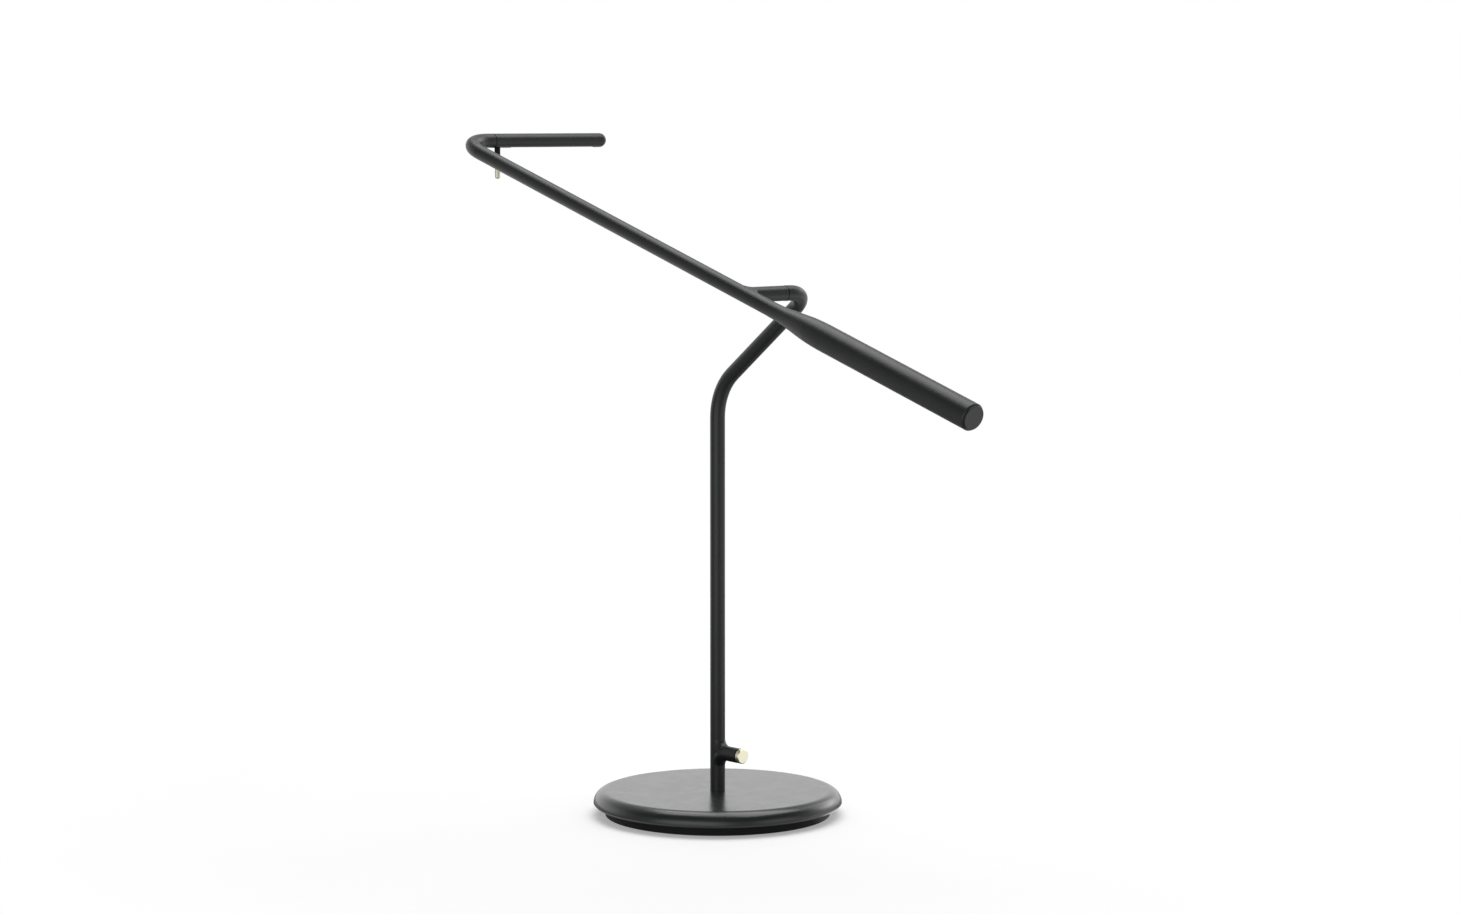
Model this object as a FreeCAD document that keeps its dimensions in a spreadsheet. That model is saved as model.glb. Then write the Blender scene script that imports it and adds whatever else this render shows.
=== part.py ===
import FreeCAD, Part
import math
import os
import re
import Sketcher
from FreeCAD import Placement, Rotation, Vector

# Counterweight balance desk lamp, in millimetres.
# Origin: centre of the underside of the base. +Z is up, +X is the side the counterweight and the
# button point to, and +Y runs from the arm's plane to the stem's plane and on along the lamp head.

SIZES = [
    # base
    ("base_radius", 100, "outer radius of the steel disc"),
    ("base_top", 20, "height of the disc's flat top"),
    ("base_underside", 8.2, "height of the disc's underside"),
    ("base_edge_round", 10, "round of the disc's upper edge"),
    ("base_lower_bevel", 1.7, "bevel of the disc's lower edge"),
    ("ferrule_hole", 5.05, "radius of the hole through the disc"),
    ("socket_depth", 4, "depth of the stem's socket in the disc"),
    ("nut_pocket_radius", 14, "radius of the nut's pocket under the disc"),
    ("nut_pocket_depth", 3.5, "depth of the nut's pocket"),
    ("screw_circle", 70, "radius of the circle of pan screws"),
    ("screw_count", 3, "number of pan screws"),
    ("screw_radius", 1.5, "radius of a pan screw"),
    ("screw_grip", 5.5, "length of screw in the disc"),
    ("screw_head_radius", 2.9, "radius of a countersunk head"),
    ("screw_head_depth", 1.5, "depth of a countersunk head"),
    ("pan_radius", 90.5, "outer radius of the bottom pan"),
    ("pan_wall", 2, "wall of the bottom pan"),
    ("pan_underside", 0.5, "height of the pan's rim above the table"),
    ("pan_floor", 1.6, "thickness of the pan's floor"),
    ("boss_radius", 4, "radius of a screw boss"),
    ("pad_radius", 87, "radius of the anti-slip sheet"),
    ("pad_thickness", 1.5, "thickness of the anti-slip sheet"),
    ("inlet_height", 5.2, "height of the cable inlet's axis"),
    ("inlet_hole", 2.5, "radius of the hole for the inlet grommet"),
    ("inlet_bore", 1.9, "radius of the grommet's bore"),
    ("inlet_flange", 3.0, "radius of the grommet's outer flange"),
    ("inlet_lip", 0.8, "thickness of the grommet's flange"),
    ("inlet_tail", 0.9, "length of grommet inside the pan's wall"),
    # tube and stem
    ("tube_radius", 6, "outer radius of every 12 mm tube"),
    ("tube_bore", 4.5, "inner radius of every 12 mm tube"),
    ("pivot_x", 107.4, "distance of the arm's pivot in front of the stem"),
    ("pivot_height", 424.5, "height of the arm's pivot axis"),
    ("rise_angle", 37.3, "slope of the rising part of the stem, degrees"),
    ("stem_bend", 45, "centre line radius of the stem's lower bend"),
    ("curl_bend", 22, "centre line radius of the curl to the pivot"),
    ("pivot_seam", 27, "distance of the pivot's seam from the stem's plane"),
    ("ferrule_foot", 6.6, "height of the ferrule's lower end"),
    ("ferrule_thread", 5.0, "radius of the ferrule's thread"),
    ("ferrule_bore", 3.0, "radius of the ferrule's bore"),
    ("ferrule_grip", 18, "length of ferrule inside the stem"),
    ("washer_radius", 11, "radius of the stem washer"),
    ("washer_thickness", 1, "thickness of the stem washer"),
    ("nut_flats", 14, "width of the stem nut across its flats"),
    ("nut_height", 3.6, "height of the stem nut"),
    # branch and button
    ("branch_height", 50.7, "height of the button's axis"),
    ("branch_radius", 5.9, "outer radius of the branch and the button"),
    ("branch_reach", 26.2, "distance of the branch's end from the stem's axis"),
    ("branch_blend", 6, "radius of the fillet between stem and branch"),
    ("button_gap", 1.2, "gap between branch and button"),
    ("button_cap", 3.2, "thickness of the button's cap"),
    ("button_bevel", 0.6, "bevel of the button's edge"),
    ("plunger_radius", 3.0, "radius of the button's plunger"),
    ("plunger_end", 15.0, "distance of the plunger's end from the stem's axis"),
    ("running_gap", 0.05, "radial clearance of everything that turns or slides"),
    ("guide_length", 7, "length of the button's guide bush"),
    ("switch_start", 8.5, "distance of the switch from the stem's axis"),
    ("switch_length", 4.5, "length of the switch body"),
    ("actuator_radius", 1.2, "radius of the switch's actuator"),
    ("actuator_length", 0.8, "length of the switch's actuator"),
    # joints
    ("axle_radius", 3.5, "radius of both hollow axles"),
    ("axle_bore", 1.6, "bore of both hollow axles"),
    ("axle_groove", 2.7, "radius of the axles' retaining grooves"),
    ("joint_gap", 0.6, "width of the dark seam at both joints"),
    ("insert_length", 5, "length of the threaded insert in the stem's end"),
    ("insert_thread", 2.5, "radius of the thread between insert and axle"),
    ("washer_step", 0.05, "end play of the seam washers"),
    ("seam_radius", 5.2, "radius of the seam washers"),
    ("pivot_axle_length", 22, "length of the pivot axle beyond the seam"),
    ("pivot_bush_end", 20, "distance of the pivot bush's end from the seam"),
    ("pivot_groove_start", 12, "start of the pivot axle's groove"),
    ("groove_width", 3.2, "width of a retaining groove"),
    ("set_screw_radius", 1.25, "radius of the pivot's set screw"),
    ("set_screw_tip", 2.85, "distance of the set screw's tip from the axis"),
    # arm
    ("arm_offset", 68.2, "distance of the arm's plane from the stem's plane"),
    ("arm_tilt", 17.95, "slope of the arm in the photographed pose, degrees"),
    ("head_reach", 371.5, "distance of the head's axis from the pivot axis"),
    ("counterweight_reach", 254.6, "distance of the counterweight's face from the pivot axis"),
    ("counterweight_radius", 10.5, "outer radius of the counterweight"),
    ("counterweight_bore", 9.0, "inner radius of the counterweight's housing"),
    ("flare_start", 28, "where the thin tube starts to swell"),
    ("flare_end", 93, "where the counterweight reaches its full radius"),
    ("shell_setback", 1.4, "housing's end behind the cap's face"),
    ("shell_round", 1.2, "round of the housing's end"),
    ("cap_radius", 9.3, "radius of the cap's face"),
    ("cap_bevel", 0.4, "bevel of the cap's face"),
    ("cap_spigot", 12, "length of the cap's spigot"),
    ("slug_length", 60, "length of the steel slug"),
    ("spacer_bore", 7.4, "inner radius of the spacer sleeve"),
    ("head_bend", 30, "centre line radius of the bend at the head"),
    ("pivot_blend", 3, "radius of the fillet between arm and pivot branch"),
    # head, measured along its axis from the arm's centre line
    ("head_seam", 35.5, "seam between arm and head"),
    ("head_axle_end", 52, "end of the head axle"),
    ("head_bush_end", 50, "end of the head bush"),
    ("head_groove_start", 39.3, "start of the head axle's groove"),
    ("pin_place", 40.9, "axis of the grip pin"),
    ("pin_shank", 1.2, "radius of the pin's shank"),
    ("pin_radius", 2.25, "radius of the brass pin"),
    ("pin_reach", 31.7, "distance of the pin's tip below the head's axis"),
    ("pin_tip_bevel", 0.9, "bevel of the pin's tip"),
    ("collar_radius", 2.45, "radius of the black collar"),
    ("collar_reach", 13.5, "distance of the collar's end below the head's axis"),
    ("slot_start", 54, "start of the light slot"),
    ("slot_end", 146, "end of the light slot"),
    ("slot_width", 4.6, "width of the light slot"),
    ("head_tip", 157.8, "tip of the head's domed end"),
    ("dome_wall", 2.0, "thickness of the domed end"),
    ("board_top", 1.0, "depth of the light board's top below the axis"),
    ("board_thickness", 1.0, "thickness of the light board"),
    ("board_width", 7.4, "width of the light board"),
    ("chip_count", 14, "number of light chips"),
    ("chip_length", 3.5, "length of a light chip"),
    ("chip_width", 2.8, "width of a light chip"),
    ("chip_height", 0.6, "height of a light chip"),
    ("diffuser_top", 3.0, "depth of the diffuser's top below the axis"),
    ("diffuser_radius", 5.6, "outer radius of the diffuser, just inside the slot"),
    # leads and board
    ("lead_width", 2.2, "width of the flat twin leads"),
    ("lead_thickness", 1.4, "thickness of the flat twin leads"),
    ("lead_bend", 8, "bend radius of a lead inside the arm"),
    ("lead_height", 4.4, "height of the lead in the pan"),
    ("switch_lead_width", 0.9, "width of the switch lead"),
    ("switch_lead_offset", 1.9, "offset of the switch lead from the stem's axis"),
    ("dimmer_near", 18, "near end of the dimmer board, behind the stem"),
    ("dimmer_length", 42, "length of the dimmer board"),
    ("dimmer_width", 26, "width of the dimmer board"),
    ("dimmer_lift", 1.4, "height of the dimmer board above the pan's floor"),
    ("dimmer_thickness", 1.5, "thickness of the dimmer board"),
]

doc = FreeCAD.newDocument("balance_desk_lamp")
sheet = doc.addObject("Spreadsheet::Sheet", "sizes")
for row, (alias, value, meaning) in enumerate(SIZES, start=1):
    sheet.set(f"A{row}", alias)
    sheet.set(f"B{row}", str(value))
    sheet.set(f"C{row}", meaning)
    sheet.setAlias(f"B{row}", alias)
doc.recompute()

ALIASES = {alias for alias, value, meaning in SIZES}
SUB_PARTS = []


def bound(formula):
    """The formula with each size name pointing into the sheet."""
    return re.sub(r"[a-z][a-z_]+", lambda m: "sizes." + m[0] if m[0] in ALIASES else m[0], str(formula))


def size(formula):
    """The number that a formula of sizes gives now."""
    return float(sheet.evalExpression(bound(formula)))


def keep(part, name):
    """Makes a document object a sub-part of the lamp, under its own name."""
    part.Label = name
    SUB_PARTS.append(part)
    return part


# ---------------------------------------------------------------- frames of the sub-parts

def along_x(height):
    """Local Z runs along +X from the stem's axis."""
    return Placement(Vector(0, 0, size(height)), Rotation(Vector(0, 1, 0), 90))


ARM_CENTRE = Vector(size("pivot_x"), -size("arm_offset"), size("pivot_height"))
TILT = size("arm_tilt")
ARM_FRAME = Placement(ARM_CENTRE, Rotation(Vector(0, 1, 0), TILT))
ARM_AXIS = Placement(ARM_CENTRE, Rotation(Vector(0, 1, 0), TILT + 90))
PIVOT_AXIS = Placement(Vector(size("pivot_x"), -size("pivot_seam"), size("pivot_height")),
                       Rotation(Vector(1, 0, 0), 90))
HEAD_CENTRE = ARM_FRAME.multVec(Vector(-size("head_reach"), 0, 0))
HEAD_FRAME = Placement(HEAD_CENTRE, Rotation())
HEAD_AXIS = Placement(HEAD_CENTRE, Rotation(Vector(1, 0, 0), -90))
PIN_AXIS = Placement(HEAD_CENTRE + Vector(0, size("pin_place"), 0), Rotation(Vector(1, 0, 0), 180))
IDENTITY = Placement()


# ---------------------------------------------------------------- ways of making a piece

def origin_plane(body, role):
    """One of a body's own origin planes or axes."""
    return next(item for item in body.Origin.OriginFeatures if item.Role == role)


def new_sketch(body, role, name, lift="0"):
    """A sketch on one of the body's own planes, lifted along the plane's normal."""
    sketch = body.newObject("Sketcher::SketchObject", name)
    sketch.AttachmentSupport = [(origin_plane(body, role), "")]
    sketch.MapMode = "FlatFace"
    sketch.AttachmentOffset = Placement(Vector(0, 0, size(lift)), Rotation())
    sketch.setExpression("AttachmentOffset.Base.z", bound(lift))
    return sketch


def constrain(sketch, kind, geometry, point, formula):
    """Ties a sketch point's distance from the origin to a formula of sizes."""
    index = sketch.addConstraint(Sketcher.Constraint(kind, -1, 1, geometry, point, size(formula)))
    sketch.setExpression(f"Constraints[{index}]", bound(formula))


def draw_profile(sketch, corners):
    """A closed polygon whose corners (distance from the axis, height) are formulas of sizes."""
    places = [Vector(size(across), size(up), 0) for across, up in corners]
    for start, end in zip(places, places[1:] + places[:1]):
        sketch.addGeometry(Part.LineSegment(start, end), False)
    for index in range(len(places)):
        following = (index + 1) % len(places)
        sketch.addConstraint(Sketcher.Constraint("Coincident", index, 2, following, 1))
    for index, (across, up) in enumerate(corners):
        if across == "0":
            sketch.addConstraint(Sketcher.Constraint("PointOnObject", index, 1, -2))
        else:
            constrain(sketch, "DistanceX", index, 1, across)
        if up == "0":
            sketch.addConstraint(Sketcher.Constraint("PointOnObject", index, 1, -1))
        else:
            constrain(sketch, "DistanceY", index, 1, up)


def draw_circle(sketch, across, up, radius):
    """A circle whose centre and radius are formulas of sizes."""
    circle = Part.Circle(Vector(size(across), size(up), 0), Vector(0, 0, 1), size(radius))
    index = sketch.addGeometry(circle, False)
    if across == "0":
        sketch.addConstraint(Sketcher.Constraint("PointOnObject", index, 3, -2))
    else:
        constrain(sketch, "DistanceX", index, 3, across)
    if up == "0":
        sketch.addConstraint(Sketcher.Constraint("PointOnObject", index, 3, -1))
    else:
        constrain(sketch, "DistanceY", index, 3, up)
    tie = sketch.addConstraint(Sketcher.Constraint("Radius", index, size(radius)))
    sketch.setExpression(f"Constraints[{tie}]", bound(radius))


def turned(name, corners, placement=IDENTITY):
    """A turned piece: its profile revolved about its own Z axis."""
    body = doc.addObject("PartDesign::Body", name)
    sketch = new_sketch(body, "XZ_Plane", name + "_profile")
    draw_profile(sketch, corners)
    revolution = body.newObject("PartDesign::Revolution", name + "_turning")
    revolution.Profile = sketch
    revolution.ReferenceAxis = (sketch, ["V_Axis"])
    revolution.Angle = 360
    body.Placement = placement
    doc.recompute()
    return keep(body, name)


def finish_circles(body, kind, amount, circles):
    """Rounds (Fillet) or bevels (Chamfer) the circular edges at (distance from the axis, height)."""
    feature = body.Tip
    local = feature.Shape
    names = []
    for number, edge in enumerate(local.Edges, start=1):
        if not isinstance(edge.Curve, Part.Circle):
            continue
        for across, up in circles:
            same_radius = abs(edge.Curve.Radius - size(across)) < 1e-4
            same_height = abs(edge.Curve.Center.z - size(up)) < 1e-4
            if same_radius and same_height:
                names.append(f"Edge{number}")
    finish = body.newObject("PartDesign::" + kind, body.Name + "_" + kind.lower())
    finish.Base = (feature, names)
    finish.setExpression("Radius" if kind == "Fillet" else "Size", bound(amount))
    doc.recompute()


def bored_across(body, name, radius, height):
    """A round hole from the axis outwards along local +X, at the given height."""
    sketch = new_sketch(body, "YZ_Plane", name)
    draw_circle(sketch, "0", height, radius)
    pocket = body.newObject("PartDesign::Pocket", name + "_cut")
    pocket.Profile = sketch
    pocket.Type = "ThroughAll"
    pocket.Reversed = True
    doc.recompute()
    return pocket


def rounded_path(points, radii):
    """A wire of straight runs joined by tangent arcs of the given radii."""
    edges = []
    start = points[0]
    for corner, before, after, radius in zip(points[1:-1], points[:-2], points[2:], radii):
        back = (before - corner).normalize()
        ahead = (after - corner).normalize()
        half = back.getAngle(ahead) / 2
        reach = radius / math.tan(half)
        middle = corner + (back + ahead).normalize() * (radius / math.sin(half) - radius)
        edges.append(Part.LineSegment(start, corner + back * reach).toShape())
        edges.append(Part.Arc(corner + back * reach, middle, corner + ahead * reach).toShape())
        start = corner + ahead * reach
    edges.append(Part.LineSegment(start, points[-1]).toShape())
    return Part.Wire(edges)


def swept(path, radius):
    """A round bar that follows a path."""
    first = path.Edges[0]
    begin = first.FirstParameter
    section = Part.Circle(first.valueAt(begin), first.tangentAt(begin), radius).toShape()
    return path.makePipeShell([Part.Wire(section)], True, False)


def swept_flat(path, width, thickness, side):
    """A flat bar that follows a path, with its width along the given side at the path's start."""
    first = path.Edges[0]
    begin = first.FirstParameter
    middle = first.valueAt(begin)
    across = side * (width / 2)
    over = first.tangentAt(begin).cross(side) * (thickness / 2)
    corners = [middle + across + over, middle - across + over, middle - across - over, middle + across - over]
    return path.makePipeShell([Part.makePolygon(corners + corners[:1])], True, False)


def branch_blend(radius, blend, side):
    """Fillet between a tube along Z and a branch along +X: a quarter turn of tube from one to the other."""
    centre_line = radius + blend
    corner = Vector(centre_line, 0, side * centre_line)
    middle = corner - Vector(1, 0, side).normalize() * centre_line
    arc = Part.Arc(Vector(0, 0, side * centre_line), middle, Vector(centre_line, 0, 0)).toShape()
    return swept(Part.Wire([arc]), radius)


def branch(radius, blend, length):
    """A branch along +X with both fillets, ready to be joined to a tube along Z."""
    straight = Part.makeCylinder(radius, length - radius - blend, Vector(radius + blend, 0, 0), Vector(1, 0, 0))
    return straight.fuse([branch_blend(radius, blend, 1), branch_blend(radius, blend, -1)])


def placed(shape, placement):
    """The shape moved into its frame."""
    moved = shape.copy()
    moved.Placement = placement
    return moved


def shaped(name, shape, placement=IDENTITY):
    """A sub-part whose shape is made with functions that read the sheet."""
    part = doc.addObject("Part::Feature", name)
    part.Shape = shape
    part.Placement = placement
    return keep(part, name)


# ---------------------------------------------------------------- base

def make_base_disc():
    bore_floor = "base_top - socket_depth"
    pocket_floor = "base_underside + nut_pocket_depth"
    body = turned("base_disc", [
        ("ferrule_hole", pocket_floor), ("ferrule_hole", bore_floor),
        ("tube_radius", bore_floor), ("tube_radius", "base_top"),
        ("base_radius", "base_top"), ("base_radius", "base_underside"),
        ("nut_pocket_radius", "base_underside"), ("nut_pocket_radius", pocket_floor)])
    finish_circles(body, "Fillet", "base_edge_round", [("base_radius", "base_top")])
    finish_circles(body, "Chamfer", "base_lower_bevel", [("base_radius", "base_underside")])
    sketch = new_sketch(body, "XY_Plane", "base_screw_hole", "base_underside")
    draw_circle(sketch, "screw_circle", "0", "screw_radius")
    pocket = body.newObject("PartDesign::Pocket", "base_screw_hole_cut")
    pocket.Profile = sketch
    pocket.setExpression("Length", bound("screw_grip"))
    pocket.Reversed = True
    repeat_round(body, [pocket])


def repeat_round(body, features):
    """Repeats features about the body's Z axis, once for each pan screw."""
    pattern = body.newObject("PartDesign::PolarPattern", body.Name + "_pattern")
    pattern.Originals = features
    pattern.Axis = (origin_plane(body, "Z_Axis"), [""])
    pattern.Angle = 360
    pattern.setExpression("Occurrences", bound("screw_count"))
    body.Tip = pattern
    doc.recompute()


def make_base_pan():
    floor_top = "pad_thickness + pan_floor"
    inner = "pan_radius - pan_wall"
    body = turned("base_pan", [
        ("0", "pad_thickness"), ("pad_radius", "pad_thickness"), ("pad_radius", "pan_underside"),
        ("pan_radius", "pan_underside"), ("pan_radius", "base_underside"), (inner, "base_underside"),
        (inner, floor_top), ("0", floor_top)])
    boss_sketch = new_sketch(body, "XY_Plane", "boss_outline", floor_top)
    draw_circle(boss_sketch, "screw_circle", "0", "boss_radius")
    boss = body.newObject("PartDesign::Pad", "boss")
    boss.Profile = boss_sketch
    boss.setExpression("Length", bound("base_underside - pad_thickness - pan_floor"))
    hole_sketch = new_sketch(body, "XY_Plane", "boss_hole", "pad_thickness")
    draw_circle(hole_sketch, "screw_circle", "0", "screw_radius")
    hole = body.newObject("PartDesign::Pocket", "boss_hole_cut")
    hole.Profile = hole_sketch
    hole.setExpression("Length", bound("base_underside - pad_thickness"))
    hole.Reversed = True
    seat_sketch = new_sketch(body, "XY_Plane", "head_seat", "pad_thickness")
    draw_circle(seat_sketch, "screw_circle", "0", "screw_head_radius")
    seat = body.newObject("PartDesign::Pocket", "head_seat_cut")
    seat.Profile = seat_sketch
    seat.setExpression("Length", bound("screw_head_depth"))
    seat.Reversed = True
    doc.recompute()
    repeat_round(body, [boss, hole, seat])
    inlet_sketch = new_sketch(body, "YZ_Plane", "inlet_hole_outline")
    draw_circle(inlet_sketch, "0", "inlet_height", "inlet_hole")
    inlet = body.newObject("PartDesign::Pocket", "inlet_hole_cut")
    inlet.Profile = inlet_sketch
    inlet.Type = "ThroughAll"
    doc.recompute()


def make_base_trim():
    pad = doc.addObject("Part::Cylinder", "anti_slip_pad")
    pad.setExpression("Radius", bound("pad_radius"))
    pad.setExpression("Height", bound("pad_thickness"))
    keep(pad, "anti_slip_pad")

    head = Part.makeCylinder(size("screw_head_radius"), size("screw_head_depth"))
    shank_length = size("base_underside + screw_grip - pad_thickness")
    screw = head.fuse(Part.makeCylinder(size("screw_radius"), shank_length)).removeSplitter()
    screws = []
    for index in range(int(size("screw_count"))):
        turn = Rotation(Vector(0, 0, 1), index * 360 / size("screw_count"))
        spot = turn.multVec(Vector(size("screw_circle"), 0, size("pad_thickness")))
        screws.append(placed(screw, Placement(spot, turn)))
    shaped("pan_screws", Part.makeCompound(screws))

    wall_outside = "pan_radius"
    tail_end = "pan_radius - pan_wall - inlet_tail"
    neck = "inlet_hole - 2 * running_gap"
    turned("cable_grommet", [
        ("inlet_bore", tail_end), (neck, tail_end), (neck, wall_outside),
        ("inlet_flange", wall_outside), ("inlet_flange", wall_outside + " + inlet_lip"),
        ("inlet_bore", wall_outside + " + inlet_lip")],
        Placement(Vector(0, 0, size("inlet_height")), Rotation(Vector(0, 1, 0), -90)))


def make_dimmer_board():
    floor_top = size("pad_thickness + pan_floor")
    length = size("dimmer_length")
    width = size("dimmer_width")
    board_low = floor_top + size("dimmer_lift")
    board_high = board_low + size("dimmer_thickness")
    far = -size("dimmer_near") - length
    board = Part.makeBox(length, width, size("dimmer_thickness"), Vector(far, -width / 2, board_low))
    inset = 4
    feet = []
    for x in (far + inset, far + length - inset):
        for y in (inset - width / 2, width / 2 - inset):
            feet.append(Part.makeBox(3, 3, size("dimmer_lift"), Vector(x - 1.5, y - 1.5, floor_top)))
    chip_low = Vector(far, 0, board_high)
    chips = [
        Part.makeBox(10, 9, 1.6, chip_low + Vector(5, -10, 0)),
        Part.makeBox(7, 7, 1.2, chip_low + Vector(20, 2, 0)),
        Part.makeBox(6, 12, 1.7, chip_low + Vector(32, -6, 0)),
        Part.makeCylinder(2.5, 1.8, chip_low + Vector(12, 6, 0)),
    ]
    shaped("dimmer_board", board.fuse(feet + chips).removeSplitter())


# ---------------------------------------------------------------- stem

def stem_path(foot):
    """Centre line of the stem from a height on its axis to the pivot's seam."""
    corner_height = size("pivot_height - pivot_x * tan(rise_angle * 1 deg)")
    return [
        Vector(0, 0, foot), Vector(0, 0, corner_height),
        Vector(size("pivot_x"), 0, size("pivot_height")),
        Vector(size("pivot_x"), -size("pivot_seam"), size("pivot_height"))]


def make_stem_tube():
    bends = [size("stem_bend"), size("curl_bend")]
    path = rounded_path(stem_path(size("base_top - socket_depth")), bends)
    branch_place = Placement(Vector(0, 0, size("branch_height")), Rotation())
    arm = placed(branch(size("branch_radius"), size("branch_blend"), size("branch_reach")), branch_place)
    outside = swept(path, size("tube_radius")).fuse(arm).removeSplitter()
    branch_bore = Part.makeCylinder(size("tube_bore"), size("branch_reach"),
                                    Vector(0, 0, size("branch_height")), Vector(1, 0, 0))
    shaped("stem_tube", outside.cut([swept(path, size("tube_bore")), branch_bore]))


def make_stem_fixing():
    seat = "base_top - socket_depth"
    turned("stem_ferrule", [
        ("ferrule_bore", "ferrule_foot"), ("ferrule_thread", "ferrule_foot"), ("ferrule_thread", seat),
        ("tube_bore", seat), ("tube_bore", seat + " + ferrule_grip"),
        ("ferrule_bore", seat + " + ferrule_grip")])
    washer_top = "base_underside + nut_pocket_depth"
    washer_low = washer_top + " - washer_thickness"
    turned("stem_washer", [
        ("ferrule_hole", washer_low), ("washer_radius", washer_low),
        ("washer_radius", washer_top), ("ferrule_hole", washer_top)])

    nut = doc.addObject("PartDesign::Body", "stem_nut")
    sketch = new_sketch(nut, "XY_Plane", "nut_outline", washer_low + " - nut_height")
    corner_radius = size("nut_flats / sqrt(3)")
    corners = [Vector(corner_radius * math.cos(math.radians(60 * k)),
                      corner_radius * math.sin(math.radians(60 * k)), 0) for k in range(6)]
    for start, end in zip(corners, corners[1:] + corners[:1]):
        sketch.addGeometry(Part.LineSegment(start, end), False)
    for index in range(6):
        sketch.addConstraint(Sketcher.Constraint("Coincident", index, 2, (index + 1) % 6, 1))
        if index:
            sketch.addConstraint(Sketcher.Constraint("Equal", 0, index))
    guide = sketch.addGeometry(Part.Circle(Vector(0, 0, 0), Vector(0, 0, 1), corner_radius), True)
    sketch.addConstraint(Sketcher.Constraint("Coincident", guide, 3, -1, 1))
    for index in range(6):
        sketch.addConstraint(Sketcher.Constraint("PointOnObject", index, 1, guide))
    tie = sketch.addConstraint(Sketcher.Constraint("Radius", guide, corner_radius))
    sketch.setExpression(f"Constraints[{tie}]", bound("nut_flats / sqrt(3)"))
    sketch.addConstraint(Sketcher.Constraint("PointOnObject", 0, 1, -1))
    draw_circle(sketch, "0", "0", "ferrule_thread")
    pad = nut.newObject("PartDesign::Pad", "nut_height")
    pad.Profile = sketch
    pad.setExpression("Length", bound("nut_height"))
    doc.recompute()
    keep(nut, "stem_nut")


def make_stem_leads():
    near_end = Vector(-size("dimmer_near"), 0, size("lead_height"))
    points = [near_end] + stem_path(size("lead_height"))
    points[-1] = Vector(size("pivot_x"), -size("pivot_seam + pivot_axle_length"), size("pivot_height"))
    bends = [size("lead_width"), size("stem_bend"), size("curl_bend")]
    path = rounded_path(points, bends)
    shaped("stem_wire", swept_flat(path, size("lead_width"), size("lead_thickness"), Vector(0, 1, 0)))

    offset = size("switch_lead_offset")
    height = size("branch_height")
    points = [Vector(size("switch_start"), 0, height), Vector(offset, 0, height),
              Vector(offset, 0, size("ferrule_foot"))]
    path = rounded_path(points, [2 * size("switch_lead_width")])
    shaped("switch_wire", swept_flat(path, size("switch_lead_width"), size("switch_lead_width"), Vector(0, 1, 0)))


# ---------------------------------------------------------------- button

def make_button():
    frame = along_x("branch_height")
    cap_back = "branch_reach + button_gap"
    cap_front = cap_back + " + button_cap"
    button = turned("push_button", [
        ("0", "plunger_end"), ("plunger_radius", "plunger_end"), ("plunger_radius", cap_back),
        ("branch_radius", cap_back), ("branch_radius", cap_front), ("0", cap_front)], frame)
    finish_circles(button, "Chamfer", "button_bevel", [("branch_radius", cap_front)])
    guide_bore = "plunger_radius + running_gap"
    turned("switch_guide", [
        (guide_bore, "branch_reach - guide_length"), ("tube_bore", "branch_reach - guide_length"),
        ("tube_bore", "branch_reach"), (guide_bore, "branch_reach")], frame)
    switch_end = "switch_start + switch_length"
    turned("switch_body", [
        ("0", "switch_start"), ("tube_bore", "switch_start"), ("tube_bore", switch_end),
        ("actuator_radius", switch_end), ("actuator_radius", switch_end + " + actuator_length"),
        ("0", switch_end + " + actuator_length")], frame)


# ---------------------------------------------------------------- pivot of the arm

def make_pivot():
    turned("pivot_insert", [
        ("insert_thread", "-insert_length"), ("tube_bore", "-insert_length"),
        ("tube_bore", "0"), ("insert_thread", "0")], PIVOT_AXIS)
    groove_end = "pivot_groove_start + groove_width"
    turned("pivot_axle", [
        ("axle_bore", "-insert_length"), ("insert_thread", "-insert_length"), ("insert_thread", "0"),
        ("axle_radius", "0"), ("axle_radius", "pivot_groove_start"), ("axle_groove", "pivot_groove_start"),
        ("axle_groove", groove_end), ("axle_radius", groove_end), ("axle_radius", "pivot_axle_length"),
        ("axle_bore", "pivot_axle_length")], PIVOT_AXIS)
    turned("pivot_washer", [
        ("axle_radius", "0"), ("seam_radius", "0"),
        ("seam_radius", "joint_gap - washer_step"), ("axle_radius", "joint_gap - washer_step")], PIVOT_AXIS)
    bush_bore = "axle_radius + running_gap"
    bush = turned("pivot_bush", [
        (bush_bore, "joint_gap"), ("tube_bore", "joint_gap"),
        ("tube_bore", "pivot_bush_end"), (bush_bore, "pivot_bush_end")], set_screw_frame())
    bored_across(bush, "bush_screw_hole", "set_screw_radius", "pivot_groove_start + groove_width / 2")

    screw_length = size("tube_radius - set_screw_tip")
    screw = Part.makeCylinder(size("set_screw_radius"), screw_length - 0.2)
    socket = Part.makeCylinder(0.7, 1.0)
    shape = screw.cut(socket)
    along = size("pivot_groove_start + groove_width / 2")
    place = set_screw_frame().multiply(
        Placement(Vector(size("tube_radius") - 0.2, 0, along), Rotation(Vector(0, 1, 0), -90)))
    shaped("pivot_set_screw", shape, place)


def set_screw_frame():
    """Pivot frame whose local X points down from the arm, where the set screw sits."""
    down = ARM_FRAME.Rotation.multVec(Vector(0, 0, -1))
    local_down = PIVOT_AXIS.Rotation.inverted().multVec(down)
    turn = math.degrees(math.atan2(local_down.y, local_down.x))
    return PIVOT_AXIS.multiply(Placement(Vector(), Rotation(Vector(0, 0, 1), turn)))


# ---------------------------------------------------------------- arm

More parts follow.
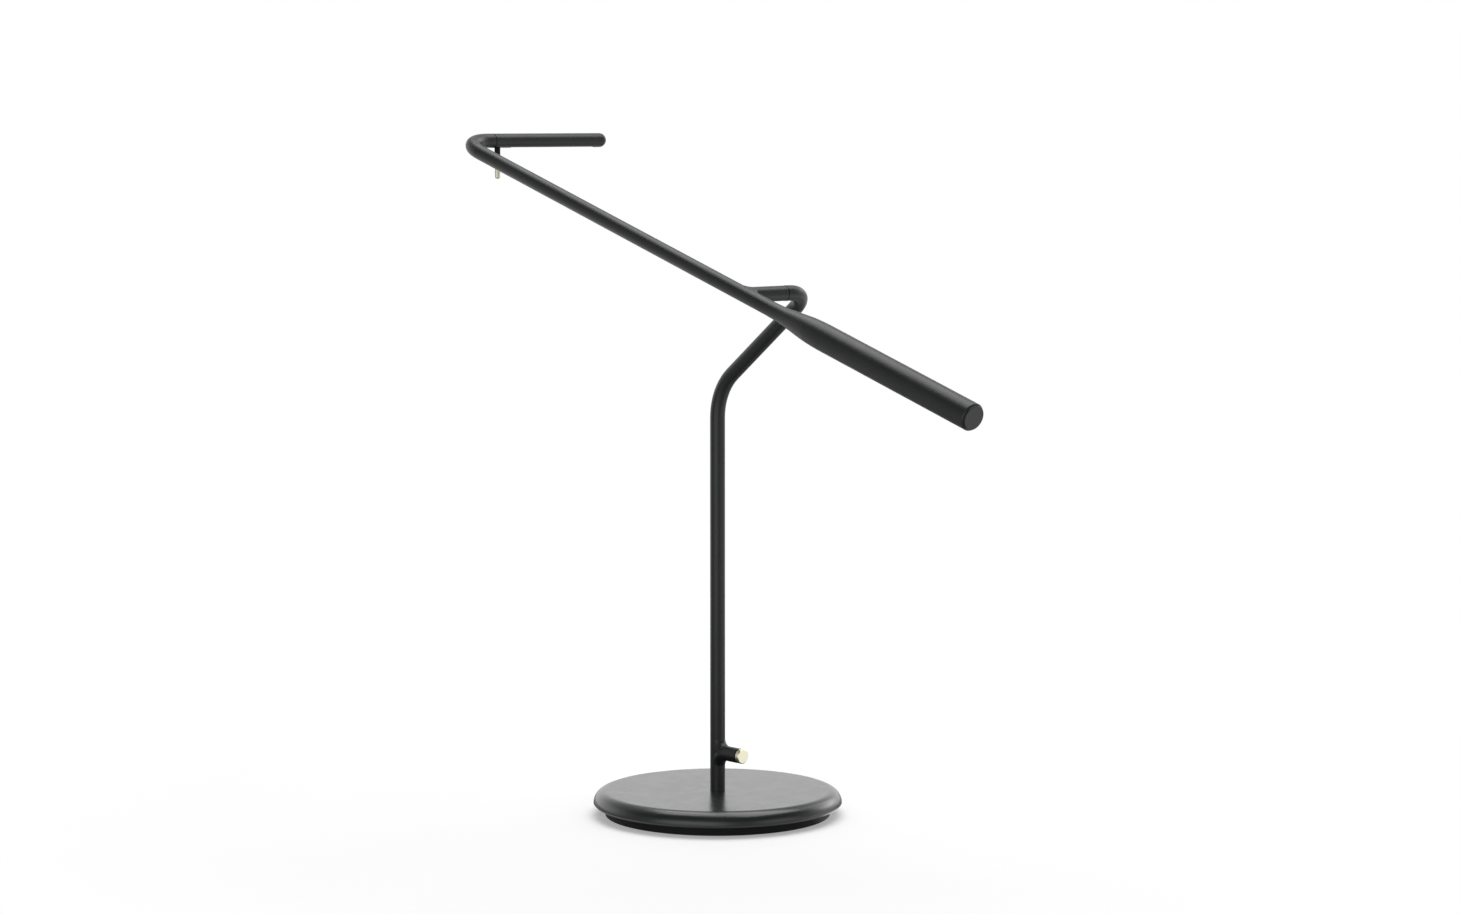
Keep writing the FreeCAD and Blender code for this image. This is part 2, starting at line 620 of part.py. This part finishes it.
def flare_profile(thin, thick, end):
    """Half section of the flare and the counterweight: two tangent arcs, then straight to the end."""
    start = size("flare_start")
    stop = size("flare_end")
    half_length = (stop - start) / 2
    half_swell = (thick - thin) / 2
    bend = (half_length ** 2 + half_swell ** 2) / (2 * half_swell)
    half_turn = math.asin(half_length / bend) / 2
    first_middle = Vector(thin + bend * (1 - math.cos(half_turn)), 0, start + bend * math.sin(half_turn))
    last_middle = Vector(thick - bend * (1 - math.cos(half_turn)), 0, stop - bend * math.sin(half_turn))
    centre = Vector(thin + half_swell, 0, start + half_length)
    begin = Vector(thin, 0, start)
    full = Vector(thick, 0, stop)
    return Part.Wire([
        Part.LineSegment(Vector(0, 0, start), begin).toShape(),
        Part.Arc(begin, first_middle, centre).toShape(),
        Part.Arc(centre, last_middle, full).toShape(),
        Part.LineSegment(full, Vector(thick, 0, end)).toShape(),
        Part.LineSegment(Vector(thick, 0, end), Vector(0, 0, end)).toShape(),
        Part.LineSegment(Vector(0, 0, end), Vector(0, 0, start)).toShape()])


def revolved_flare(thin, thick, end):
    return Part.Face(flare_profile(thin, thick, end)).revolve(Vector(0, 0, 0), Vector(0, 0, 1), 360)


def make_arm_tube():
    # Local frame: Z along the arm towards the counterweight, Y along the pivot and head axes.
    shell_end = size("counterweight_reach - shell_setback")
    tube = size("tube_radius")
    bore = size("tube_bore")
    path = rounded_path([
        Vector(0, size("head_seam"), -size("head_reach")), Vector(0, 0, -size("head_reach")),
        Vector(0, 0, size("flare_start"))], [size("head_bend")])
    counterweight = revolved_flare(tube, size("counterweight_radius"), shell_end)
    rim = [edge for edge in counterweight.Edges
           if isinstance(edge.Curve, Part.Circle) and abs(edge.Curve.Center.z - shell_end) < 1e-4
           and abs(edge.Curve.Radius - size("counterweight_radius")) < 1e-4]
    counterweight = counterweight.makeFillet(size("shell_round"), rim)
    branch_length = size("arm_offset - pivot_seam - joint_gap")
    pivot_branch = placed(branch(size("branch_radius"), size("pivot_blend"), branch_length),
                          Placement(Vector(), Rotation(Vector(0, 0, 1), 90)))
    outside = swept(path, tube).fuse([counterweight, pivot_branch]).removeSplitter()
    branch_bore = Part.makeCylinder(bore, branch_length, Vector(), Vector(0, 1, 0))
    screw_along = size("arm_offset - pivot_seam - pivot_groove_start - groove_width / 2")
    screw_hole = Part.makeCylinder(size("set_screw_radius"), tube + 1, Vector(0, screw_along, 0), Vector(1, 0, 0))
    hollow = [swept(path, bore), revolved_flare(bore, size("counterweight_bore"), shell_end),
              branch_bore, screw_hole]
    shaped("arm_tube", outside.cut(hollow), ARM_AXIS)


def make_counterweight():
    spigot_start = "counterweight_reach - shell_setback - cap_spigot"
    spigot_end = "counterweight_reach - shell_setback"
    cap = turned("counterweight_cap", [
        ("0", spigot_start), ("counterweight_bore", spigot_start), ("counterweight_bore", spigot_end),
        ("cap_radius", spigot_end), ("cap_radius", "counterweight_reach"), ("0", "counterweight_reach")], ARM_AXIS)
    finish_circles(cap, "Chamfer", "cap_bevel", [("cap_radius", "counterweight_reach")])
    slug_start = spigot_start + " - slug_length"
    turned("counterweight_slug", [
        ("0", slug_start), ("counterweight_bore", slug_start),
        ("counterweight_bore", spigot_start), ("0", spigot_start)], ARM_AXIS)
    turned("counterweight_spacer", [
        ("spacer_bore", "flare_end"), ("counterweight_bore", "flare_end"),
        ("counterweight_bore", slug_start), ("spacer_bore", slug_start)], ARM_AXIS)


def make_arm_lead():
    # From just clear of the pivot axle's end to the end of the head axle's bore.
    start = size("arm_offset - pivot_seam - pivot_axle_length") - 1
    reach = size("head_reach")
    path = rounded_path([
        Vector(0, size("head_axle_end"), -reach), Vector(0, 0, -reach), Vector(0, 0, 0), Vector(0, start, 0)],
        [size("head_bend"), size("lead_bend")])
    shaped("arm_wire", swept_flat(path, size("lead_width"), size("lead_thickness"), Vector(1, 0, 0)), ARM_AXIS)


# ---------------------------------------------------------------- lamp head

def make_head_joint():
    collar_start = "head_seam - insert_length"
    groove_end = "head_groove_start + groove_width"
    turned("head_axle", [
        ("axle_bore", collar_start), ("tube_bore", collar_start), ("tube_bore", "head_seam"),
        ("axle_radius", "head_seam"), ("axle_radius", "head_groove_start"),
        ("axle_groove", "head_groove_start"), ("axle_groove", groove_end), ("axle_radius", groove_end),
        ("axle_radius", "head_axle_end"), ("axle_bore", "head_axle_end")], HEAD_AXIS)
    washer_end = "head_seam + joint_gap - washer_step"
    turned("head_washer", [
        ("axle_radius", "head_seam"), ("seam_radius", "head_seam"),
        ("seam_radius", washer_end), ("axle_radius", washer_end)], HEAD_AXIS)
    bush_bore = "axle_radius + running_gap"
    bush_start = "head_seam + joint_gap"
    down = HEAD_AXIS.multiply(Placement(Vector(), Rotation(Vector(0, 0, 1), 90)))
    bush = turned("head_bush", [
        (bush_bore, bush_start), ("tube_bore", bush_start),
        ("tube_bore", "head_bush_end"), (bush_bore, "head_bush_end")], down)
    bored_across(bush, "bush_pin_hole", "pin_shank", "pin_place")


def make_head_tube():
    start = size("head_seam + joint_gap")
    radius = size("tube_radius")
    dome = Vector(0, size("head_tip") - radius, 0)
    outside = Part.makeCylinder(radius, dome.y - start, Vector(0, start, 0), Vector(0, 1, 0))
    outside = outside.fuse(Part.makeSphere(radius, dome, Vector(0, 1, 0), 0, 90, 360))
    bore_length = size("head_tip - tube_radius - dome_wall") - start
    bore = Part.makeCylinder(size("tube_bore"), bore_length, Vector(0, start, 0), Vector(0, 1, 0))
    width = size("slot_width")
    slot = Part.makeBox(width, size("slot_end - slot_start"), size("tube_radius"),
                        Vector(-width / 2, size("slot_start"), -size("tube_radius")))
    pin_hole = Part.makeCylinder(size("pin_shank"), size("tube_radius") + 1,
                                 Vector(0, size("pin_place"), 0), Vector(0, 0, -1))
    shaped("head_tube", outside.removeSplitter().cut([bore, slot, pin_hole]), HEAD_FRAME)


def make_pin():
    sleeve = Part.makeCylinder(size("collar_radius"), size("collar_reach"))
    shank_hole = Part.makeCylinder(size("pin_shank"), size("collar_reach"))
    tube = Part.makeCylinder(size("tube_radius"), 4 * size("collar_radius"),
                             Vector(0, -2 * size("collar_radius"), 0), Vector(0, 1, 0))
    shaped("pin_collar", sleeve.cut([shank_hole, tube]), PIN_AXIS)
    pin = turned("grip_pin", [
        ("0", "set_screw_tip"), ("pin_shank", "set_screw_tip"), ("pin_shank", "collar_reach"),
        ("pin_radius", "collar_reach"), ("pin_radius", "pin_reach"), ("0", "pin_reach")], PIN_AXIS)
    finish_circles(pin, "Chamfer", "pin_tip_bevel", [("pin_radius", "pin_reach")])


def make_light():
    start = size("slot_start")
    length = size("slot_end - slot_start")
    board_low = -size("board_top + board_thickness")
    inside = Part.makeCylinder(size("tube_bore"), length, Vector(0, start, 0), Vector(0, 1, 0))
    upper_half = Part.makeBox(20, length, 20, Vector(-10, start, -size("board_top")))
    shaped("heat_spreader", inside.common(upper_half), HEAD_FRAME)

    board = doc.addObject("Part::Box", "led_board")
    board.setExpression("Length", bound("board_width"))
    board.setExpression("Width", bound("slot_end - slot_start"))
    board.setExpression("Height", bound("board_thickness"))
    board.Placement = HEAD_FRAME.multiply(
        Placement(Vector(-size("board_width") / 2, start, board_low), Rotation()))
    keep(board, "led_board")

    pitch = length / size("chip_count")
    chip_length = size("chip_length")
    chip_width = size("chip_width")
    chips = []
    for index in range(int(size("chip_count"))):
        middle = start + (index + 0.5) * pitch
        corner = Vector(-chip_width / 2, middle - chip_length / 2, board_low - size("chip_height"))
        chips.append(Part.makeBox(chip_width, chip_length, size("chip_height"), corner))
    shaped("led_chips", Part.makeCompound(chips), HEAD_FRAME)

    # The diffuser lies on the floor of the bore and fills the slot, just short of the tube's outside.
    lens = Part.makeCylinder(size("diffuser_radius"), length, Vector(0, start, 0), Vector(0, 1, 0))
    width = size("slot_width")
    depth = size("tube_radius")
    window = Part.makeBox(width, length, depth, Vector(-width / 2, start, -depth - size("diffuser_top")))
    lower_part = Part.makeBox(2 * depth, length, depth, Vector(-depth, start, -depth - size("diffuser_top")))
    shaped("diffuser", inside.common(lower_part).fuse(lens.common(window)).removeSplitter(), HEAD_FRAME)


def make_head_lead():
    start = size("head_axle_end") + 1
    width = size("lead_width")
    thickness = size("lead_thickness")
    lead = Part.makeBox(width, size("slot_start") - start, thickness, Vector(-width / 2, start, -thickness / 2))
    shaped("head_wire", lead, HEAD_FRAME)


# ---------------------------------------------------------------- build, check and write

def check_document():
    for item in doc.Objects:
        wrong = {"Invalid", "Error"} & set(item.State)
        if wrong:
            raise RuntimeError(f"{item.Label} is {sorted(wrong)}")
    labels = [part.Label for part in SUB_PARTS]
    if len(set(labels)) != len(labels):
        raise RuntimeError("two sub-parts share a name")
    for part in SUB_PARTS:
        shape = part.Shape
        if shape.isNull() or not shape.isValid() or not shape.Solids:
            raise RuntimeError(f"{part.Label} has no valid solid")


def write_parts():
    os.makedirs("parts", exist_ok=True)
    for part in SUB_PARTS:
        part.Shape.exportStep(f"parts/{part.Label}.step")
        print(f"{part.Label:24s} solids {len(part.Shape.Solids):2d}  volume {part.Shape.Volume:12.1f}")


make_base_disc()
make_base_pan()
make_base_trim()
make_dimmer_board()
make_stem_tube()
make_stem_fixing()
make_stem_leads()
make_button()
make_pivot()
make_arm_tube()
make_counterweight()
make_arm_lead()
make_head_joint()
make_head_tube()
make_pin()
make_light()
make_head_lead()
doc.recompute()
check_document()
write_parts()
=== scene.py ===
import math
import bpy
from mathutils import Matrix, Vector


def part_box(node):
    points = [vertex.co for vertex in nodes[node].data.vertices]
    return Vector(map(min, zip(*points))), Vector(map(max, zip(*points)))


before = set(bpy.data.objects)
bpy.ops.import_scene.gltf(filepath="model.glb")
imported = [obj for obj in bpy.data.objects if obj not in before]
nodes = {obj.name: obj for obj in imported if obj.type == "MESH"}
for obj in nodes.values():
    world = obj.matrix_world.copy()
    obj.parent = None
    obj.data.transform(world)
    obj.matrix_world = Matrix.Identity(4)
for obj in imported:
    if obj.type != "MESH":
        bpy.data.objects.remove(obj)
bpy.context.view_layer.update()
scene = bpy.context.scene

# ---------------------------------------------------------------- camera: the photograph's view

LENS_PX = 3518.7
FRAME_PX = 1460
SENSOR_MM = 36
CAMERA_PLACE = (2.0826, -1.8638, 0.5605)
CAMERA_TILT_DEG = 84.4475
CAMERA_TURN_DEG = 47.97
CLIP_END_M = 60


def make_camera():
    data = bpy.data.cameras.new("camera")
    data.sensor_width = SENSOR_MM
    data.lens = LENS_PX / FRAME_PX * SENSOR_MM
    data.clip_end = CLIP_END_M
    camera = bpy.data.objects.new("camera", data)
    camera.location = CAMERA_PLACE
    camera.rotation_euler = (math.radians(CAMERA_TILT_DEG), 0, math.radians(CAMERA_TURN_DEG))
    scene.collection.objects.link(camera)
    scene.camera = camera


# ---------------------------------------------------------------- shader trees

# Noise seldom leaves the middle of its range, so colours and numbers change between these values of it.
COLOUR_STOPS = (0.3, 0.7)
NUMBER_STOPS = (0.25, 0.75)


class Graph:
    """The nodes and links of one shader tree. Values pass between its calls as output sockets."""

    def __init__(self, tree):
        self.tree = tree
        tree.nodes.clear()

    def add(self, kind, sockets=None, **settings):
        """A new node with its settings, its inputs set or linked by name or number."""
        node = self.tree.nodes.new(kind)
        for key, value in settings.items():
            setattr(node, key, value)
        self.feed(node, sockets or {})
        return node

    def feed(self, node, sockets):
        for key, value in sockets.items():
            if isinstance(value, bpy.types.NodeSocket):
                self.tree.links.new(value, node.inputs[key])
            else:
                node.inputs[key].default_value = value

    def combine(self, operation, first, second):
        return self.add("ShaderNodeMath", {0: first, 1: second}, operation=operation).outputs["Value"]

    def facing(self, direction, towards):
        """Cosine between two directions."""
        node = self.add("ShaderNodeVectorMath", {0: direction, 1: towards}, operation="DOT_PRODUCT")
        return node.outputs["Value"]

    def length(self, vector):
        return self.add("ShaderNodeVectorMath", {0: vector}, operation="LENGTH").outputs["Value"]

    def step(self, value, start, full, first=0.0, last=1.0):
        """A smooth change from the first level to the last while the value goes from start to full."""
        node = self.add("ShaderNodeMapRange", {
            "Value": value, "From Min": start, "From Max": full, "To Min": first, "To Max": last},
            interpolation_type="SMOOTHSTEP")
        return node.outputs["Result"]

    def blend(self, factor, first, second):
        """A number between two numbers."""
        node = self.add("ShaderNodeMix", data_type="FLOAT")
        self.feed(node, {"Factor": factor, "A": first, "B": second})
        return node.outputs["Result"]

    def mix(self, factor, first, second):
        """A shader between two shaders."""
        return self.add("ShaderNodeMixShader", {"Fac": factor, 1: first, 2: second}).outputs["Shader"]

    def rays(self):
        return self.add("ShaderNodeLightPath").outputs


class Surface(Graph):
    """A principled material under construction."""

    def __init__(self, name):
        self.material = bpy.data.materials.new(name)
        self.material.use_nodes = True
        super().__init__(self.material.node_tree)
        self.shader = self.add("ShaderNodeBsdfPrincipled")
        self.output = self.add("ShaderNodeOutputMaterial", {"Surface": self.shader.outputs["BSDF"]})
        self.place = self.add("ShaderNodeTexCoord").outputs["Object"]

    def noise(self, scale, detail, roughness=0.6, at=None):
        node = self.add("ShaderNodeTexNoise", {
            "Scale": scale, "Detail": detail, "Roughness": roughness, "Vector": at or self.place})
        return node.outputs["Fac"]

    def ramp(self, value, dark, light):
        """A colour from dark to light, by a noise."""
        node = self.add("ShaderNodeValToRGB", {"Fac": value})
        for element, position, colour in zip(node.color_ramp.elements, COLOUR_STOPS, (dark, light)):
            element.position = position
            element.color = (*colour, 1)
        return node.outputs["Color"]

    def spread(self, value, low, high):
        """A number from low to high, by a noise."""
        start, full = NUMBER_STOPS
        node = self.add("ShaderNodeMapRange", {
            "Value": value, "From Min": start, "From Max": full, "To Min": low, "To Max": high})
        return node.outputs["Result"]

    def bump(self, height, strength, distance, under=None):
        node = self.add("ShaderNodeBump", {"Strength": strength, "Distance": distance, "Height": height})
        if under:
            self.feed(node, {"Normal": under})
        return node.outputs["Normal"]

    def finish(self, colour, roughness, normal, constants):
        self.feed(self.shader, {"Base Color": colour, "Roughness": roughness, "Normal": normal})
        self.feed(self.shader, constants)
        return self.material


def grey(level):
    return (level, level, level)


# ---------------------------------------------------------------- materials

def painted(name, dark, light, roughness, grain=1600, coat=0.0):
    """Satin powder coat: fine orange peel over a shallow wave, and faint blotches."""
    m = Surface(name)
    colour = m.ramp(m.noise(scale=22, detail=4), dark, light)
    sheen = m.spread(m.noise(scale=60, detail=5), roughness - 0.03, roughness + 0.04)
    peel = m.bump(m.noise(scale=grain, detail=2), strength=0.12, distance=0.0002)
    wave = m.bump(m.noise(scale=420, detail=2), strength=0.06, distance=0.0006, under=peel)
    return m.finish(colour, sheen, wave, {"IOR": 1.5, "Coat Weight": coat, "Coat Roughness": roughness})


def moulded(name, dark, light, roughness, level=0.5):
    """Moulded plastic with a fine spark-eroded grain."""
    m = Surface(name)
    colour = m.ramp(m.noise(scale=35, detail=3), dark, light)
    sheen = m.spread(m.noise(scale=90, detail=4), roughness - 0.05, roughness + 0.06)
    grain = m.bump(m.noise(scale=900, detail=3), strength=0.25, distance=0.0003)
    return m.finish(colour, sheen, grain, {"Specular IOR Level": level})


def rubber(name):
    """Rubber sheet with moulded concentric ribs about the lamp's centre."""
    m = Surface(name)
    colour = m.ramp(m.noise(scale=40, detail=4), grey(0.012), grey(0.02))
    sheen = m.spread(m.noise(scale=120, detail=4), 0.7, 0.85)
    rings = m.add("ShaderNodeTexWave", {"Scale": 62, "Distortion": 0, "Vector": m.place},
                  wave_type="RINGS", rings_direction="Z", wave_profile="SIN")
    fine = m.bump(m.noise(scale=1400, detail=3), strength=0.3, distance=0.0002)
    ribs = m.bump(rings.outputs["Fac"], strength=0.6, distance=0.0008, under=fine)
    return m.finish(colour, sheen, ribs, {})


def turned_metal(name, dark, light, roughness, centre, axis):
    """Metal turned on a lathe: fine rings about an axis, small colour and roughness changes."""
    m = Surface(name)
    moved = m.add("ShaderNodeMapping", {"Location": [-c for c in centre], "Vector": m.place})
    place = moved.outputs["Vector"]
    lathe = m.add("ShaderNodeCombineXYZ", {"X": m.facing(place, axis), "Y": m.length(place)})
    rings = m.noise(scale=9000, detail=2, roughness=0.5, at=lathe.outputs["Vector"])
    colour = m.ramp(m.noise(scale=180, detail=4), dark, light)
    sheen = m.spread(rings, roughness - 0.05, roughness + 0.08)
    grooves = m.bump(rings, strength=0.12, distance=0.00006)
    return m.finish(colour, sheen, grooves, {"Metallic": 1.0})


def opal(name):
    """Frosted opal plastic, slightly translucent, with a fine satin skin."""
    m = Surface(name)
    colour = m.ramp(m.noise(scale=70, detail=3), (0.80, 0.80, 0.77), (0.86, 0.86, 0.83))
    sheen = m.spread(m.noise(scale=200, detail=3), 0.42, 0.52)
    skin = m.bump(m.noise(scale=1800, detail=2), strength=0.15, distance=0.0002)
    return m.finish(colour, sheen, skin, {
        "Subsurface Weight": 0.3, "Subsurface Radius": (0.003, 0.003, 0.003), "Subsurface Scale": 1.0})


LAMP_AXIS = (0, 0, 0)
ALONG_X, ALONG_Y, ALONG_Z = (1, 0, 0), (0, 1, 0), (0, 0, 1)


def button_face():
    low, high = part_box("push_button")
    return (high.x, 0, (low.z + high.z) / 2)


def pin_tip():
    low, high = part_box("grip_pin")
    return ((low.x + high.x) / 2, (low.y + high.y) / 2, low.z)


def dress_nodes():
    """Give every node of the frame its material."""
    worn = {
        painted("graphite_paint", (0.010, 0.012, 0.0115), (0.015, 0.017, 0.0165), 0.38): [
            "stem_tube", "arm_tube", "head_tube"],
        painted("base_paint", (0.010, 0.013, 0.012), (0.015, 0.018, 0.017), 0.25, grain=1100, coat=0.5): [
            "base_disc"],
        painted("dark_cap_paint", (0.017, 0.018, 0.017), (0.024, 0.025, 0.024), 0.42): [
            "counterweight_cap"],
        moulded("black_plastic", grey(0.003), grey(0.005), 0.6, level=0.3): [
            "base_pan", "pin_collar", "switch_body"],
        moulded("black_acetal", grey(0.006), grey(0.010), 0.38): [
            "pivot_washer", "head_washer", "pivot_bush", "head_bush", "switch_guide"],
        moulded("white_acetal", (0.7, 0.7, 0.66), (0.78, 0.78, 0.74), 0.45): ["counterweight_spacer"],
        moulded("lead_sleeve", grey(0.012), grey(0.02), 0.45): [
            "stem_wire", "switch_wire", "arm_wire", "head_wire"],
        moulded("green_board", (0.01, 0.06, 0.02), (0.015, 0.09, 0.035), 0.35): ["dimmer_board"],
        moulded("yellow_phosphor", (0.72, 0.55, 0.12), (0.8, 0.62, 0.16), 0.35): ["led_chips"],
        rubber("black_rubber"): ["anti_slip_pad", "cable_grommet"],
        turned_metal("button_brass", (0.94, 0.90, 0.66), (0.98, 0.94, 0.72), 0.28, button_face(), ALONG_X): [
            "push_button"],
        turned_metal("pin_brass", (0.64, 0.63, 0.49), (0.70, 0.69, 0.55), 0.34, pin_tip(), ALONG_Z): [
            "grip_pin"],
        turned_metal("zinc_steel", (0.42, 0.42, 0.41), (0.55, 0.55, 0.54), 0.32, LAMP_AXIS, ALONG_Z): [
            "pan_screws", "stem_ferrule", "stem_washer", "stem_nut", "pivot_insert", "pivot_axle",
            "pivot_set_screw", "head_axle", "counterweight_slug"],
        turned_metal("bare_aluminium", (0.62, 0.62, 0.63), (0.72, 0.72, 0.73), 0.34, LAMP_AXIS, ALONG_Y): [
            "heat_spreader", "led_board"],
        opal("opal_plastic"): ["diffuser"],
    }
    for material, names in worn.items():
        for name in names:
            nodes[name].data.materials.clear()
            nodes[name].data.materials.append(material)


# ---------------------------------------------------------------- studio

WHITE = 1.0
AMBIENT = 0.3
DARK_GLOSS = 0.3
# What gloss sees of the studio. Each patch has its direction from the lamp, the cosines at which it starts
# and is full, and the brightness that it adds to the dark parts.
BACK_LIT = ((-0.743, 0.669, 0.0), -0.1, 0.55, 0.72)
FRONT_LIT = ((0.407, -0.914, 0.0), 0.7, 0.97, 1.0)
RIGHT_LIT = ((0.96, 0.28, 0.0), 0.86, 0.98, 0.6)
KICKER = ((-0.05, 0.89, 0.46), 0.93, 0.985, 2.0)
# Painted reflection: a pale patch on the floor to the right, seen only in gloss, in place of a card.
RIGHT_PAINTED_PATCH = ((0.743, 0.669, 0.0), 0.93, 0.99, 0.75)
# Distances from the lamp's centre at which each change on the floor starts and is full, in metres.
FLOOR_TURNS_WHITE = (0.22, 0.6)
# In gloss the floor shows painted shade near the lamp and glows from these distances out.
FLOOR_GLOW_STARTS = (0.4, 0.9)
# Distances at which the painted pale patch on the right fades out.
RIGHT_PAINTED_PATCH_ENDS = (0.9, 1.5)
# Heights of a direction between which the world's glow fades, and the share of it that stays above them.
GLOW_FADES = (0.25, 0.6)
GLOW_ABOVE = 0.4
FLOOR_HALF_SIZE = 14
FLOOR_HEIGHT = -0.0002
FLOOR_LIFT = 0.32


def studio_glow(graph, direction):
    """How bright the studio looks in gloss, by the direction from the lamp: pale behind the lamp and in
    two patches before it, darker between them, with a small light high behind it on the right."""
    total = DARK_GLOSS
    for towards, start, full, level in (BACK_LIT, FRONT_LIT, RIGHT_LIT, KICKER):
        patch = graph.step(graph.facing(direction, towards), start, full, last=level)
        total = graph.combine("ADD", total, patch)
    return total


def floor_paper():
    """Pale paper that keeps the lamp's shadow near the base and turns white further out. In gloss it
    glows: painted shade near the lamp, the studio's glow further out, and a painted pale patch on the
    right, a painted reflection in place of a card; from below it is clear."""
    m = Surface("floor_paper")
    rays = m.rays()
    seen = rays["Is Camera Ray"]
    m.feed(m.shader, {
        "Base Color": m.ramp(m.noise(scale=3, detail=3), grey(0.78), grey(0.80)),
        "Roughness": m.spread(m.noise(scale=30, detail=3), 0.75, 0.85),
        "Emission Color": (1, 1, 1, 1),
        "Emission Strength": m.combine("MULTIPLY", seen, FLOOR_LIFT)})
    distance = m.length(m.place)
    direction = m.add("ShaderNodeVectorMath", {0: m.place}, operation="NORMALIZE").outputs["Vector"]
    white_share = m.combine("MULTIPLY", seen, m.step(distance, *FLOOR_TURNS_WHITE))
    # In gloss the floor near the lamp glows only at the dark level: painted shade where the lamp shades the
    # floor; further out it shows the studio's glow.
    glow = m.blend(m.step(distance, *FLOOR_GLOW_STARTS), DARK_GLOSS, studio_glow(m, direction))
    # A painted pale patch on the right, seen only in gloss: a painted reflection that fades out with
    # distance.
    towards, start, full, level = RIGHT_PAINTED_PATCH
    right_painted_patch = m.combine("MULTIPLY", m.step(m.facing(direction, towards), start, full, last=level),
                 m.step(distance, *RIGHT_PAINTED_PATCH_ENDS, first=1.0, last=0.0))
    strength = m.blend(seen, m.combine("ADD", glow, right_painted_patch), WHITE)
    shine = m.add("ShaderNodeEmission", {"Strength": strength}).outputs["Emission"]
    shining = m.combine("MAXIMUM", white_share, rays["Is Glossy Ray"])
    paper = m.mix(shining, m.shader.outputs["BSDF"], shine)
    below = m.add("ShaderNodeNewGeometry").outputs["Backfacing"]
    clear = m.add("ShaderNodeBsdfTransparent").outputs["BSDF"]
    m.feed(m.output, {"Surface": m.mix(below, paper, clear)})
    return m.material


def make_floor():
    half, height = FLOOR_HALF_SIZE, FLOOR_HEIGHT
    corners = [(-half, -half, height), (half, -half, height), (half, half, height), (-half, half, height)]
    mesh = bpy.data.meshes.new("floor")
    mesh.from_pydata(corners, [], [(0, 1, 2, 3)])
    mesh.materials.append(floor_paper())
    floor = bpy.data.objects.new("floor", mesh)
    scene.collection.objects.link(floor)


def make_world():
    """White to look at, plain and pale as light, and in gloss the studio's glow, which fades above."""
    world = bpy.data.worlds.new("studio")
    scene.world = world
    world.use_nodes = True
    graph = Graph(world.node_tree)

    def background(strength):
        node = graph.add("ShaderNodeBackground", {"Color": (1, 1, 1, 1), "Strength": strength})
        return node.outputs["Background"]

    direction = graph.add("ShaderNodeTexCoord").outputs["Generated"]
    height = graph.add("ShaderNodeSeparateXYZ", {0: direction}).outputs["Z"]
    fade = graph.step(height, *GLOW_FADES, first=1.0, last=GLOW_ABOVE)
    glow = graph.combine("MULTIPLY", studio_glow(graph, direction), fade)
    rays = graph.rays()
    lit = graph.mix(rays["Is Glossy Ray"], background(AMBIENT), background(glow))
    direct = graph.combine("MAXIMUM", rays["Is Camera Ray"], rays["Is Transmission Ray"])
    graph.add("ShaderNodeOutputWorld", {"Surface": graph.mix(direct, lit, background(WHITE))})


def softbox(name, place, towards, width, height, radiance):
    """A flat soft light of a given brightness, hidden from the camera."""
    light = bpy.data.lights.new(name, "AREA")
    light.shape = "RECTANGLE"
    light.size = width
    light.size_y = height
    light.energy = radiance * math.pi * width * height
    lamp = bpy.data.objects.new(name, light)
    lamp.location = place
    lamp.rotation_euler = (Vector(towards) - Vector(place)).to_track_quat("-Z", "Y").to_euler()
    lamp.visible_camera = False
    scene.collection.objects.link(lamp)


make_camera()
dress_nodes()
make_floor()
make_world()
softbox("top_softbox", place=(-0.2, 0.45, 2.3), towards=(0, 0, 0.2), width=2.6, height=2.0, radiance=2.6)
scene.view_settings.view_transform = "Standard"
